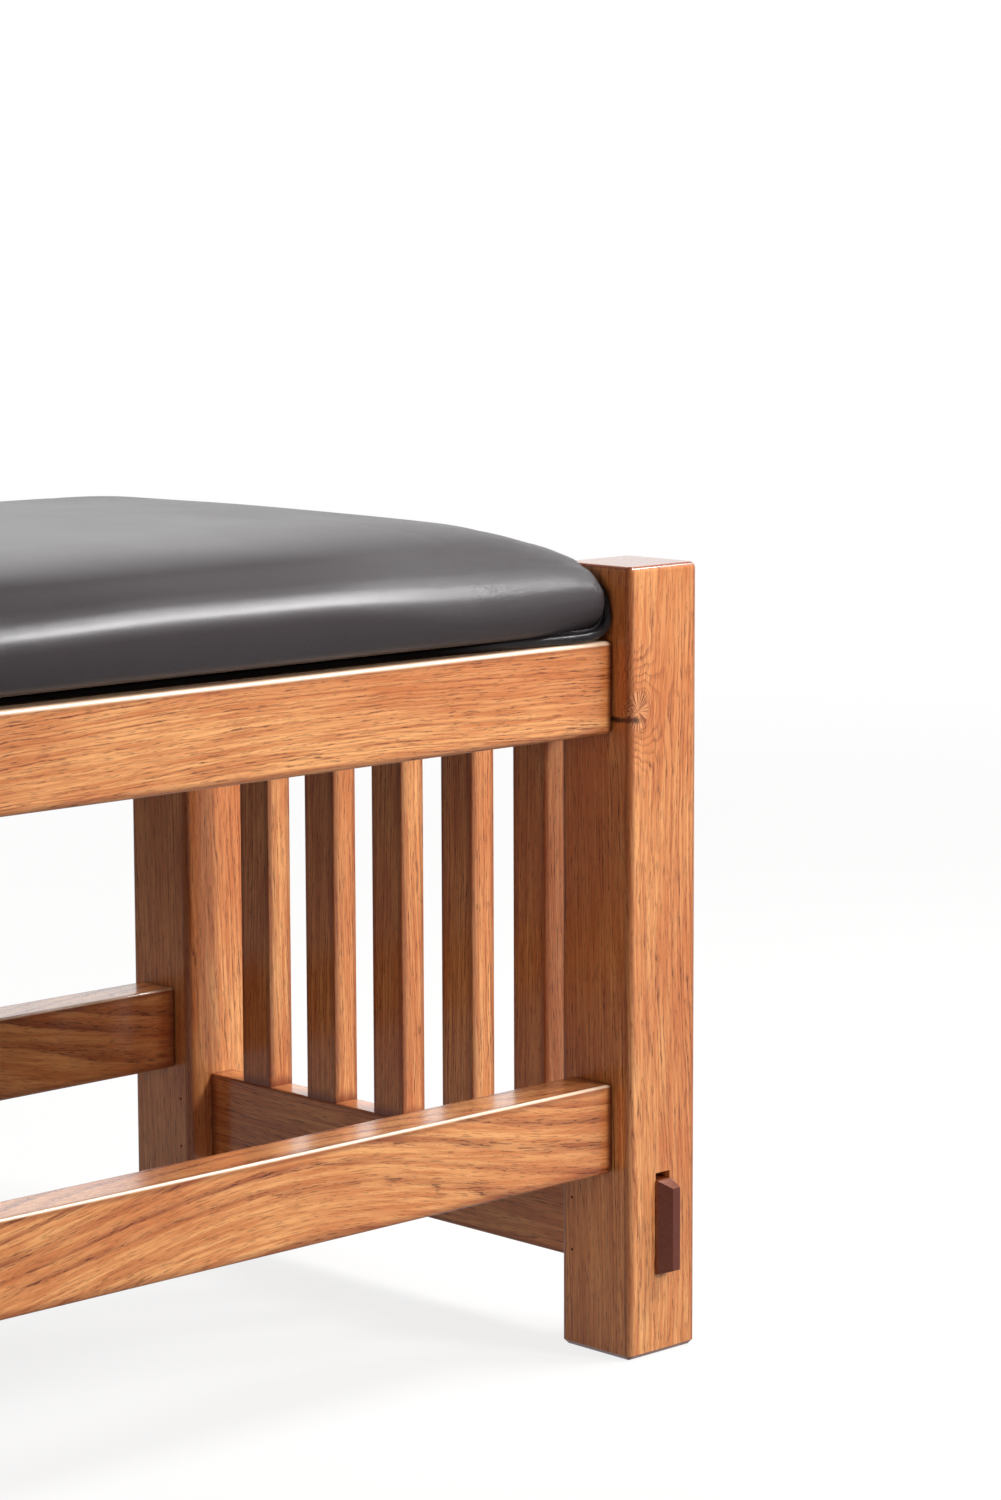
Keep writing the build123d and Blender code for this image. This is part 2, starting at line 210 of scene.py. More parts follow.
def make_floor():
    """A wide sheet that is white to look at, but dim in reflections and as a light."""
    mesh = bmesh.new()
    bmesh.ops.create_grid(mesh, x_segments=4, y_segments=4, size=floor_width / 2)
    data = bpy.data.meshes.new("floor")
    mesh.to_mesh(data)
    floor = bpy.data.objects.new("floor", data)
    scene.collection.objects.link(floor)
    material = bpy.data.materials.new("studio_floor")
    material.use_nodes = True
    tree = material.node_tree
    path = add_node(tree, "LightPath").outputs
    seen = path["Is Camera Ray"]
    shiny = calc(tree, "MAXIMUM", path["Is Glossy Ray"], path["Is Transmission Ray"])
    tone = mix(tree, seen, grey(floor_tone_lit), grey(floor_tone_seen))
    matt = add_node(tree, "BsdfDiffuse", {"Color": tone})
    place = add_node(tree, "NewGeometry").outputs["Position"]
    to_right = add_node(tree, "SeparateXYZ", {0: place}).outputs["X"]
    side = spread(tree, to_right, *floor_gleam_span, floor_gleam_left, floor_gleam_right)
    gleam = calc(tree, "MULTIPLY", shiny, side)
    glow = add_node(tree, "Emission", {"Strength": calc(tree, "MAXIMUM", seen, gleam)})
    far = spread(tree, vector_calc(tree, "LENGTH", place), *floor_glow_span, floor_glow_share, 1.0)
    share = calc(tree, "MAXIMUM", calc(tree, "MULTIPLY", seen, far), shiny)
    blend = add_node(tree, "MixShader", {0: share, 1: matt.outputs[0], 2: glow.outputs[0]})
    tree.links.new(blend.outputs[0], tree.nodes["Material Output"].inputs["Surface"])
    data.materials.append(material)


def make_world():
    """White to look at, but darker on the left as a light and in reflections."""
    world = bpy.data.worlds.new("studio")
    scene.world = world
    world.use_nodes = True
    tree = world.node_tree
    path = add_node(tree, "LightPath").outputs
    way = add_node(tree, "SeparateXYZ", {0: add_node(tree, "TexCoord").outputs["Generated"]}).outputs
    side = spread(tree, way["X"], *left_to_right, dark_side_gleam, 1.0)
    high = spread(tree, way["Z"], *high_gleam_span, 1.0, high_gleam)
    overhead = calc(tree, "MULTIPLY", high, spread(tree, way["Z"], *ceiling_edge, 1.0, ceiling_gleam))
    front = spread(tree, way["Y"], *front_to_back, front_gleam, 1.0)
    around = calc(tree, "MULTIPLY", calc(tree, "MULTIPLY", side, overhead), front)
    shiny = calc(tree, "MAXIMUM", path["Is Glossy Ray"], path["Is Transmission Ray"])
    soft = spread(tree, way["X"], *left_to_right, dark_side_light * sky_light, sky_light)
    unlit = calc(tree, "MAXIMUM", soft, calc(tree, "MULTIPLY", around, shiny))
    strength = calc(tree, "MAXIMUM", unlit, path["Is Camera Ray"])
    white = calc(tree, "MAXIMUM", shiny, path["Is Camera Ray"])
    background = tree.nodes["Background"]
    tree.links.new(mix(tree, white, sky_colour, (1, 1, 1, 1)), background.inputs["Color"])
    tree.links.new(strength, background.inputs["Strength"])


make_floor()
make_world()
print("floor", floor_width, "m wide")

# %% [markdown]
# ## The lamps
#
# An area lamp gives soft edges to shadows and a broad gleam on leather. The key
# lamp stands low to the front right, so faces that look left fall into shade and
# each post throws a narrow shadow on the rails beside it. A lamp high on the right
# draws the bright band over the leather's shoulder and the thin gleams along the
# rails' upper arrises. Two weak lamps keep the back and the left readable. All but
# the high lamp stand behind polarising sheets, so that they draw no second band.

# %% Lamps
bench_middle = Vector((0.1, 0, 0.25))


def lamp(name, turn, rise, distance, width, height, power, tint=(1, 1, 1)):
    """A soft lamp at angles to the right of the front and up, facing the bench."""
    flat = distance * cos(radians(rise))
    offset = Vector((flat * sin(radians(turn)), -flat * cos(radians(turn)), distance * sin(radians(rise))))
    place = bench_middle + offset
    data = bpy.data.lights.new(name, "AREA")
    data.shape = "RECTANGLE"
    data.size = width
    data.size_y = height
    data.energy = power
    data.color = tint
    light = bpy.data.objects.new(name, data)
    scene.collection.objects.link(light)
    light.location = place
    light.rotation_euler = offset.to_track_quat("Z", "Y").to_euler()
    light.visible_glossy = name == "gleam"
    print(name, power, "W")


lamp("key", 31, 20, 3.2, 0.6, 0.6, 56)
lamp("gleam", 62, 43, 2.6, 0.9, 0.6, 52)
lamp("back_fill", 168, 30, 3.2, 2.0, 1.2, 40)
lamp("left_fill", -66, 9, 3.2, 1.6, 1.0, 19, tint=(1, 0.70, 0.46))

# %% [markdown]
# ## Oak
#
# Oak shows yearly rings, long open pores in the early part of each ring, fine
# fibres and slow drifts of colour. A picture of wood would show the same face on
# every side, so the log itself is described instead: rings round a heart, a little
# wavy, and each board is a piece of that log. Boards sawn near the heart show bold
# arches, and boards sawn far from it show straight fine lines. End grain then
# comes out right by itself.

# %% The log as a node group
wander_clouds = (2.5, 9, 9)
wander_reach = 0.014
flutter_clouds = (26, 150, 150)
flutter_reach = 0.0030
pace_scale = 0.31
pace_years = 2.6
early_wood_end = 0.50
early_wood_start = 0.86
patch_clouds = (16, 60, 60)
fibre_clouds = (16, 420, 420)
stain_clouds = (5, 18, 18)
vessel_clouds = (95, 1350, 1350)
late_wood_pores = 0.38
early_wood_pores = 0.90
amber_share = 0.60
rust_share = 0.85
umber_share = 0.90


def centred_noise(tree, vector, stretch, detail=2.0):
    """Noise as a vector round zero."""
    return vector_calc(tree, "SUBTRACT", noise(tree, vector, stretch, detail)["Color"], (0.5, 0.5, 0.5))


def make_timber(name, gold, honey, amber, rust, umber):
    """A node group: a place in a log goes in, and its colour, rings and pores come out."""
    group = bpy.data.node_groups.new(name, "ShaderNodeTree")
    for label, kind in (("Place", "Vector"), ("Ring", "Float"), ("Bands", "Float"), ("Swell", "Float")):
        group.interface.new_socket(label, in_out="INPUT", socket_type="NodeSocket" + kind)
    for label, kind in (("Colour", "Color"), ("Pores", "Float"), ("Early", "Float")):
        group.interface.new_socket(label, in_out="OUTPUT", socket_type="NodeSocket" + kind)
    given = group.nodes.new("NodeGroupInput").outputs
    place = given["Place"]

    wander = centred_noise(group, place, wander_clouds)
    flutter = centred_noise(group, place, flutter_clouds, 3)
    sideways = (0, wander_reach, wander_reach)
    moved = vector_calc(group, "ADD", place, vector_calc(group, "MULTIPLY", wander, sideways))
    sideways = (0, flutter_reach, flutter_reach)
    moved = vector_calc(group, "ADD", moved, vector_calc(group, "MULTIPLY", flutter, sideways))
    from_heart = vector_calc(group, "LENGTH", vector_calc(group, "MULTIPLY", moved, (0, 1, 1)))
    from_heart = calc(group, "ADD", from_heart, given["Swell"])
    years = calc(group, "DIVIDE", from_heart, given["Ring"])
    pace_inputs = {"W": calc(group, "MULTIPLY", years, pace_scale), "Scale": 1.0}
    pace = add_node(group, "TexNoise", pace_inputs, noise_dimensions="1D")
    years = calc(group, "MULTIPLY_ADD", pace.outputs[0], pace_years, years)

    ring = calc(group, "FRACT", years)
    growth = spread(group, ring, 0.0, early_wood_end, 1.0, 0.0)
    onset = spread(group, ring, early_wood_start, 1.0)
    early = calc(group, "MAXIMUM", growth, onset)
    year_tone = add_node(group, "TexWhiteNoise", {"W": calc(group, "FLOOR", years)}, noise_dimensions="1D")
    weight = spread(group, year_tone.outputs[0], 0.0, 1.0, 0.40, 1.0)
    patches = spread(group, noise(group, place, patch_clouds, 2)[0], 0.34, 0.60, 0.35, 1.0)
    strength = calc(group, "MULTIPLY", calc(group, "MULTIPLY", weight, patches), given["Bands"])
    early_shade = calc(group, "MULTIPLY", early, strength)

    fibre = spread(group, noise(group, place, fibre_clouds, 3, 0.6)[0], 0.34, 0.66)
    stain = spread(group, noise(group, place, stain_clouds, 3)[0], 0.38, 0.64)
    grain = noise(group, moved, vessel_clouds, 2, 0.6)[0]
    vessels = spread(group, grain, 0.535, 0.64)
    crowd = calc(group, "MULTIPLY_ADD", early_shade, early_wood_pores, late_wood_pores)
    pores = calc(group, "MULTIPLY", vessels, calc(group, "MINIMUM", crowd, 1.0))

    shade = mix(group, fibre, honey, gold)
    shade = mix(group, calc(group, "MULTIPLY", stain, amber_share), shade, amber)
    shade = mix(group, calc(group, "MULTIPLY", early_shade, rust_share), shade, rust)
    shade = mix(group, calc(group, "MULTIPLY", pores, umber_share), shade, umber)
    result = group.nodes.new("NodeGroupOutput").inputs
    for label, value in (("Colour", shade), ("Pores", pores), ("Early", early)):
        group.links.new(value, result[label])
    print(name, "has", len(group.nodes), "nodes")
    return group


oak_log = make_timber(
    "oak_log",
    gold=colour(246, 178, 114),
    honey=colour(214, 134, 78),
    amber=colour(200, 110, 58),
    rust=colour(146, 68, 36),
    umber=colour(84, 35, 16),
)
pale_log = make_timber(
    "pale_log",
    gold=colour(226, 200, 160),
    honey=colour(208, 176, 132),
    amber=colour(196, 160, 116),
    rust=colour(176, 136, 94),
    umber=colour(130, 94, 62),
)

# %% [markdown]
# ## Boards from the log
#
# Each board gets its own material, so that no two show the same figure. It says
# which way the grain runs, where the heart of the log lay, how much it leaned and
# how the grain sweeps up and down. Stain gathers on the rounded arrises, and where
# a rail meets a post, a dark joint and painted shade from the post darken it. End
# grain drinks more stain. The upper arrises of the long rails are painted pale,
# partly as wear and partly as a painted highlight, and the seat rails' tops just
# behind them get painted light. A clear lacquer lies over everything.
# One post has a knot, where the rings bend round a small branch and a crack opens.

# %% Grain, arrises, shoulders, wear, painted shade and painted light
grain_axes = {"X": ("X", "Y", "Z"), "Y": ("Y", "X", "Z"), "Z": ("Z", "Y", "X")}
cuts = {
    "flat": {"heart": (0.030, 0.030), "lean": (0.030, 0.010), "sweep": 0.016, "ring": 0.0080, "bands": 1.0},
    "rift": {"heart": (0.110, 0.120), "lean": (0.010, 0.012), "sweep": 0.003, "ring": 0.0015, "bands": 0.85},
    "slash": {"heart": (0.075, 0.045), "lean": (0.020, 0.014), "sweep": 0.003, "ring": 0.0016, "bands": 0.75},
}
sweep_length = 0.50
sweep_phase = 0.63
end_grain_tone = (0.50, 0.34, 0.34, 1)
# Tone of the stain on the arrises, and of the dark joint and painted shade at the shoulders.
stain_and_shade_tone = colour(120, 54, 28)
arris_reach = 0.005
arris_stain_share = 0.45
# Darker band at each shoulder: partly a dark joint, partly painted shade from the post beside it.
shoulder_shade_reach = 0.009
shoulder_stain_and_shade_share = 0.85
# Pale tone on the upper arrises, partly wear and partly a painted highlight, and painted light on the seat
# rails' tops.
rub_and_highlight_tone = colour(255, 226, 196)
rub_and_highlight_share = 0.85
painted_ledge_depth = (0.0006, 0.0001)
pore_depth = 0.00008
early_wood_depth_share = 0.25


def board_place(tree, low, high, along):
    """Place in a board from its middle: along the grain, then across it both ways."""
    middle = [(a + b) / 2 for a, b in zip(low, high)]
    place = add_node(tree, "TexCoord").outputs["Object"]
    parts = add_node(tree, "SeparateXYZ", {0: vector_calc(tree, "SUBTRACT", place, middle)}).outputs
    turned = {index: parts[axis] for index, axis in enumerate(grain_axes[along])}
    return add_node(tree, "CombineXYZ", turned).outputs[0]


def swept(tree, place, height, phase):
    """The same place with the grain swaying up and down along the board."""
    along = add_node(tree, "SeparateXYZ", {0: place}).outputs["X"]
    wave = calc(tree, "SINE", calc(tree, "MULTIPLY_ADD", along, 2 * pi / sweep_length, phase))
    rise = add_node(tree, "CombineXYZ", {2: calc(tree, "MULTIPLY", wave, height)}).outputs[0]
    return vector_calc(tree, "ADD", place, rise)


def arris(tree, place, halves, reach):
    """One on the rounded arrises that run along a board, and zero on its faces."""
    inner = (0, halves[1] - reach, halves[2] - reach)
    over = vector_calc(tree, "SUBTRACT", vector_calc(tree, "ABSOLUTE", place), inner)
    parts = add_node(tree, "SeparateXYZ", {0: over}).outputs
    return spread(tree, calc(tree, "MINIMUM", parts["Y"], parts["Z"]), 0.0, reach * 0.5)


def shoulder_stain_and_shade(tree, place, half_length, reach):
    """One at the shoulders of a board, where a dark joint and painted shade go, and zero a short way in from
    them.
    """
    parts = add_node(tree, "SeparateXYZ", {0: vector_calc(tree, "ABSOLUTE", place)}).outputs
    return spread(tree, parts["X"], half_length - reach, half_length)


def end_grain(tree, along):
    """One where the surface cuts across the fibres, and zero along them."""
    facing = vector_calc(tree, "ABSOLUTE", add_node(tree, "TexCoord").outputs["Normal"])
    return spread(tree, add_node(tree, "SeparateXYZ", {0: facing}).outputs[along], 0.30, 0.75)


def rubbed_and_lit_edge(tree, place, halves, radius, painted_ledge_light):
    """One along the upper arrises for wear and a painted highlight, less on the top face beside them for
    painted light, zero elsewhere.
    """
    rise = add_node(tree, "SeparateXYZ", {0: place}).outputs["Z"]
    above = spread(tree, rise, 0.0, halves[2] / 2)
    near_top = [halves[2] - depth for depth in painted_ledge_depth]
    painted_ledge = spread(tree, rise, *near_top, 0.0, painted_ledge_light)
    edge = calc(tree, "MAXIMUM", calc(tree, "MULTIPLY", arris(tree, place, halves, radius), above), painted_ledge)
    uneven_rub_and_gleam = spread(tree, noise(tree, place, (30, 200, 200), 3)[0], 0.25, 0.45, 0.55, 1.0)
    return calc(tree, "MULTIPLY", edge, uneven_rub_and_gleam)


# %% A knot
knot_place = (0.1405, -0.0262, -0.0200)
knot_reach = 0.036
knot_swell = 0.014
knot_squash = 0.72
knot_halo = (0.006, 0.014)
knot_core = (0.0065, 0.0090)
crack_from_knot = (-0.005, 0.006, -0.006)
crack_clouds = (260, 260, 260)
crack_raggedness = 0.0042
crack_edge = (-0.0016, 0.0002)
crack_reach = (0.007, 0.012)


def add_knot(tree, place, figure, knot):
    """A small knot: bent rings, a fan of fibres and a dark crack. Returns the new colour."""
    away = vector_calc(tree, "SUBTRACT", place, knot)
    around = vector_calc(tree, "LENGTH", vector_calc(tree, "MULTIPLY", away, (knot_squash, 1, 1)))
    near = spread(tree, around, 0.0, knot_reach, 1.0, 0.0)
    tree.links.new(calc(tree, "MULTIPLY", calc(tree, "POWER", near, 2.0), knot_swell), figure.inputs["Swell"])
    rays = noise(tree, vector_calc(tree, "NORMALIZE", away), (9, 9, 9), 2, 0.6)[0]
    fan = mix(tree, spread(tree, rays, 0.42, 0.58), colour(132, 64, 34), colour(236, 164, 108))
    halo = spread(tree, around, *knot_halo, 0.35, 0.0)
    shade = mix(tree, halo, figure.outputs["Colour"], colour(168, 84, 44))
    shade = mix(tree, spread(tree, around, *knot_core, 0.85, 0.0), shade, fan)
    from_crack = vector_calc(tree, "SUBTRACT", away, crack_from_knot)
    off = calc(tree, "ABSOLUTE", add_node(tree, "SeparateXYZ", {0: from_crack}).outputs["X"])
    ragged = calc(tree, "MULTIPLY_ADD", noise(tree, place, crack_clouds, 3)[0], -crack_raggedness, off)
    thin = spread(tree, ragged, *crack_edge, 1.0, 0.0)
    reach = spread(tree, vector_calc(tree, "LENGTH", from_crack), *crack_reach, 0.9, 0.0)
    return mix(tree, calc(tree, "MULTIPLY", thin, reach), shade, colour(36, 16, 10))


print("knot", knot_reach * 1000, "mm in reach")

# %% One board's material
def make_board(
    node, along, cut, log, shoulder=None, flip=1, rub_and_highlight_radius=None, painted_ledge_light=0.0, knot=None, lacquer=1.0
):
    """Give one solid its own board, cut from a log."""
    low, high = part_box(node)
    halves = [(high["XYZ".index(axis)] - low["XYZ".index(axis)]) / 2 for axis in grain_axes[along]]
    facts = cuts[cut]
    material, tree, shader = new_material(
        "board_" + node, Specular_IOR_Level=0.25, Coat_Weight=lacquer, Coat_Roughness=0.15
    )
    place = board_place(tree, low, high, along)
    shift = (sum(map(ord, node)) % 97) * 0.037
    heart = (shift, facts["heart"][0] * flip, facts["heart"][1])
    lean = (0, facts["lean"][1], facts["lean"][0] * flip)
    swaying = swept(tree, place, facts["sweep"], sweep_phase)
    sawn = add_node(tree, "Mapping", {"Vector": swaying, "Location": heart, "Rotation": lean}).outputs[0]
    figure = add_node(tree, "Group", node_tree=log)
    tree.links.new(sawn, figure.inputs["Place"])
    figure.inputs["Ring"].default_value = facts["ring"]
    figure.inputs["Bands"].default_value = facts["bands"]
    shade = figure.outputs["Colour"]
    if knot:
        shade = add_knot(tree, place, figure, knot)
    reach = min(arris_reach, halves[1] / 3)
    deep = calc(tree, "MULTIPLY", arris(tree, place, halves, reach), arris_stain_share)
    # Painted shade and a dark joint at the shoulders.
    if shoulder:
        joint_stain_and_shade = shoulder_stain_and_shade(tree, place, shoulder, shoulder_shade_reach)
        joint_stain_and_shade = calc(tree, "MULTIPLY", joint_stain_and_shade, shoulder_stain_and_shade_share)
        deep = calc(tree, "MAXIMUM", deep, joint_stain_and_shade)
    shade = mix(tree, deep, shade, stain_and_shade_tone)
    shade = mix(tree, end_grain(tree, along), shade, end_grain_tone, "MULTIPLY")
    # Painted highlight and wear along the upper arrises, and painted light on the seat rails' tops.
    if rub_and_highlight_radius:
        worn_and_highlit = calc(tree, "MULTIPLY", rubbed_and_lit_edge(tree, place, halves, rub_and_highlight_radius, painted_ledge_light), rub_and_highlight_share)
        shade = mix(tree, worn_and_highlit, shade, rub_and_highlight_tone)
    pores = figure.outputs["Pores"]
    rough = spread(tree, pores, 0.0, 1.0, 0.34, 0.60)
    height = calc(tree, "MULTIPLY_ADD", figure.outputs["Early"], early_wood_depth_share, pores)
    finish_shader(tree, shader, shade, rough, calc(tree, "MULTIPLY", height, -1), pore_depth)
    dress([node], material)
    return material


# %% Saw every board
post_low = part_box("back_right_post")[0]
post_inner_x, post_inner_y = post_low[0], post_low[1]
slat_half = (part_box("right_upper_end_rail")[0][2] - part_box("right_lower_end_rail")[1][2]) / 2
post_names = [f"{face}_{side}_post" for face in ("front", "back") for side in ("left", "right")]
# Radii and shares of the painted highlight and wear on upper arrises, and of the painted light on the seat
# rails' tops.
seat_rail_highlight_rub = 0.0028
seat_rail_painted_ledge_light = 0.6
stretcher_highlight_rub = 0.0018

for name in post_names:
    knot = knot_place if name == "front_right_post" else None
    make_board(name, "Z", "slash", oak_log, flip=-1, knot=knot)
for face, flip in (("front", 1), ("back", -1)):
    common = {"shoulder": post_inner_x, "flip": flip}
    rail_highlight_rub = {"rub_and_highlight_radius": seat_rail_highlight_rub, "painted_ledge_light": seat_rail_painted_ledge_light}
    make_board(f"{face}_seat_rail", "X", "rift", oak_log, **common, **rail_highlight_rub)
    make_board(f"{face}_stretcher", "X", "flat", oak_log, **common, rub_and_highlight_radius=stretcher_highlight_rub)
for side in ("left", "right"):
    make_board(f"{side}_upper_end_rail", "Y", "rift", oak_log, shoulder=post_inner_y)
    make_board(f"{side}_lower_end_rail", "Y", "slash", oak_log, shoulder=post_inner_y)
    for index in range(1, 6):
        cut = ("rift", "slash")[index % 2]
        make_board(f"{side}_slat_{index}", "Z", cut, oak_log, shoulder=slat_half)
for face in ("front", "back"):
    for side in ("left", "right"):
        make_board(f"{face}_{side}_corner_block", "X", "slash", pale_log, lacquer=0.0)
make_board("center_bearer", "Y", "rift", pale_log, lacquer=0.0)
make_board("seat_board", "X", "flat", pale_log, lacquer=0.0)
print("boards:", sum(material.name.startswith("board_") for material in bpy.data.materials))

# %% [markdown]
# ## Leather
#
# The seat's leather is a dark charcoal hide with a fine pebbled grain and a soft
# gleam. Pebbles are cells with grooves between them, which a Voronoi texture
# draws, and the grooves get painted shade. Two sizes of cell, broken up with noise,
# look less even than one. The gleam varies a little, because hands and finishing
# never leave it quite even.

# %% Leather material
grain_depth = 0.00013
bend_clouds = (420, 420, 420)
bend_reach = 0.0012
pebbles_and_grooves = ((1150, 0.10), (560, 0.07))
large_pebble_share = 0.5
flat_grain_span = (0.36, 0.54)
flat_grain_share = 0.07
full_grain_share = 0.75
crease_clouds = (90, 90, 90)
crease_share = 0.12
wrinkle_clouds = (380, 380, 80)
gathered_wrinkles = 4.0
gather_reach = (0.003, 0.016)
# Colour of the painted shade in the grooves between pebbles.
painted_groove_shade = colour(28, 24, 26)
painted_groove_shade_share = 0.5
# Span over which painted shade darkens the welts deep under the seat.
painted_shade_span = (0.005, 0.010)
corner_inset = 0.0045
corner_x = post_inner_x - corner_inset
corner_y = post_inner_y - corner_inset
rail_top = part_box("front_seat_rail")[1][2]
rail_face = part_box("back_seat_rail")[1][1]
end_rail_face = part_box("right_upper_end_rail")[1][0]


def near_posts(tree, place):
    """One where the leather is gathered at a post, and zero a little way off."""
    inward = vector_calc(tree, "SUBTRACT", (corner_x, corner_y, 0), vector_calc(tree, "ABSOLUTE", place))
    inward = vector_calc(tree, "MAXIMUM", vector_calc(tree, "MULTIPLY", inward, (1, 1, 0)), (0, 0, 0))
    return spread(tree, vector_calc(tree, "LENGTH", inward), *gather_reach, 1.0, 0.0)


def make_leather(name, dark, light, rough_low, rough_high):
    """Pebbled leather, with its gleam between two roughness values."""
    material, tree, shader = new_material(name, Specular_IOR_Level=0.5)
    place = add_node(tree, "TexCoord").outputs["Object"]
    bend = vector_calc(tree, "MULTIPLY", noise(tree, place, bend_clouds, 2)["Color"], (bend_reach,) * 3)
    bent = vector_calc(tree, "ADD", place, bend)
    grooves = []
    for cells, reach in pebbles_and_grooves:
        texture = add_node(tree, "TexVoronoi", {"Vector": bent, "Scale": cells}, feature="DISTANCE_TO_EDGE")
        grooves.append(spread(tree, texture.outputs["Distance"], 0.0, reach))
    pebbles = calc(tree, "MULTIPLY_ADD", grooves[1], large_pebble_share, grooves[0])
    across = add_node(tree, "SeparateXYZ", {0: vector_calc(tree, "ABSOLUTE", place)}).outputs["X"]
    pebble_share = spread(tree, across, *flat_grain_span, flat_grain_share, full_grain_share)
    pebbles = calc(tree, "MULTIPLY", pebbles, pebble_share)
    creases = spread(tree, noise(tree, place, crease_clouds, 4, 0.6)[0], 0.35, 0.65)
    height = calc(tree, "MULTIPLY_ADD", creases, crease_share, pebbles)
    wrinkles = spread(tree, noise(tree, place, wrinkle_clouds, 3, 0.6)[0], 0.38, 0.62)
    gathered = calc(tree, "MULTIPLY", near_posts(tree, place), gathered_wrinkles)
    height = calc(tree, "MULTIPLY_ADD", wrinkles, gathered, height)
    cloud = spread(tree, noise(tree, place, (7, 7, 7), 3)[0], 0.35, 0.65)
    shade = mix(tree, cloud, dark, light)
    # Painted shade in the grooves between pebbles.
    painted_groove_shadow = calc(tree, "MULTIPLY", calc(tree, "SUBTRACT", 1.0, grooves[0]), painted_groove_shade_share)
    shade = mix(tree, painted_groove_shadow, shade, painted_groove_shade)
    rough = spread(tree, cloud, 0.0, 1.0, rough_low, rough_high)
    finish_shader(tree, shader, shade, rough, height, grain_depth)
    return material, tree, shader, shade


def paint_deep_welt_shade(tree, shader, shade):
    """Paint shade on the parts of a welt that lie deep under the seat: black and without gleam."""
    place = vector_calc(tree, "ABSOLUTE", add_node(tree, "TexCoord").outputs["Object"])
    inward = vector_calc(tree, "SUBTRACT", (end_rail_face, rail_face, 0), place)
    parts = add_node(tree, "SeparateXYZ", {0: inward}).outputs
    deep = spread(tree, calc(tree, "MINIMUM", parts["X"], parts["Y"]), *painted_shade_span)
    # Painted shade: black colour and no gleam where the welt lies deep under the seat.
    tree.links.new(mix(tree, deep, shade, colour(10, 8, 8)), shader.inputs["Base Color"])
    tree.links.new(spread(tree, deep, 0.0, 1.0, 0.5, 0.02), shader.inputs["Specular IOR Level"])


leather = make_leather("leather", colour(57, 51, 54), colour(63, 57, 61), 0.31, 0.35)[0]
# The welt's leather is a darker copy of the seat's leather: painted shade.
welt_leather_painted_dark, *welt_parts = make_leather("welt_leather_painted_dark", colour(30, 28, 31), colour(36, 34, 37), 0.24, 0.30)
paint_deep_welt_shade(*welt_parts)
print("leather nodes:", len(leather.node_tree.nodes))

# %% [markdown]
# ## The seat
#
# The seat is foam on a board, with leather pulled over it and stapled underneath.
# It could be drawn as a smooth block, but pulled leather swells between its edges
# and is drawn down at the corners. So a copy of the foam and the board is made
# into an even skin, the skin is blown up a little as cloth and held near its first
# shape, and then its corners are pulled down round the posts.

# %% Sizes of the seat
leather_low, leather_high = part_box("leather_cover")
end_x, side_y, crown_height = leather_high
seat_bottom = leather_low[2]
board_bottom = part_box("seat_board")[0][2]
notch_gap = 0.0061
notch_swell = 0.0016
notch_x = post_inner_x - notch_gap
notch_y = post_inner_y - notch_gap
skin_step = 0.005
flange_width = 0.032

# %% An even skin round the foam and the board
def object_from(name, mesh_data):
    """A new object in the scene, with smooth shading."""
    piece = bpy.data.objects.new(name, mesh_data)
    scene.collection.objects.link(piece)
    mesh_data.shade_smooth()
    return piece


def applied(piece):
    """Turn what a piece's modifiers make into its own mesh."""
    shown = piece.evaluated_get(bpy.context.evaluated_depsgraph_get())
    mesh = bpy.data.meshes.new_from_object(shown)
    piece.modifiers.clear()
    old = piece.data
    piece.data = mesh
    bpy.data.meshes.remove(old)


def points_of(mesh):
    """A mesh's points as rows of numbers."""
    points = np.empty(len(mesh.vertices) * 3)
    mesh.vertices.foreach_get("co", points)
    return points.reshape(-1, 3)


def set_points(mesh, points):
    """Move a mesh's points."""
    mesh.vertices.foreach_set("co", points.ravel())
    mesh.update()


def make_skin():
    """One closed skin of small squares round the foam and the board."""
    joined = bmesh.new()
    for name in ("foam_core", "seat_board"):
        joined.from_mesh(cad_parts[name].data)
    data = bpy.data.meshes.new("seat_leather")
    joined.to_mesh(data)
    seat = object_from("seat_leather", data)
    remesh = seat.modifiers.new("even_skin", "REMESH")
    remesh.mode = "VOXEL"
    remesh.voxel_size = skin_step
    applied(seat)
    return seat


seat = make_skin()
skin_points = points_of(seat.data)
print("skin points:", len(skin_points), "box:", skin_points.min(0), skin_points.max(0))

# %% Blow the skin up a little as cloth
puff_frames = 20
puff_pressure = 4
puff_limit = 0.003
puff_rounds = 12
still_reach = 0.035


def evened(mesh, values, rounds):
    """Values at a mesh's points, each drawn toward the mean of its neighbours."""
    ends = np.empty(len(mesh.edges) * 2, dtype=int)
    mesh.edges.foreach_get("vertices", ends)
    first, second = ends[0::2], ends[1::2]
    count = np.bincount(ends, minlength=len(values))[:, None]
    for _ in range(rounds):
        total = np.zeros_like(values)
        np.add.at(total, first, values[second])
        np.add.at(total, second, values[first])
        values = (values + total / count) / 2
    return values


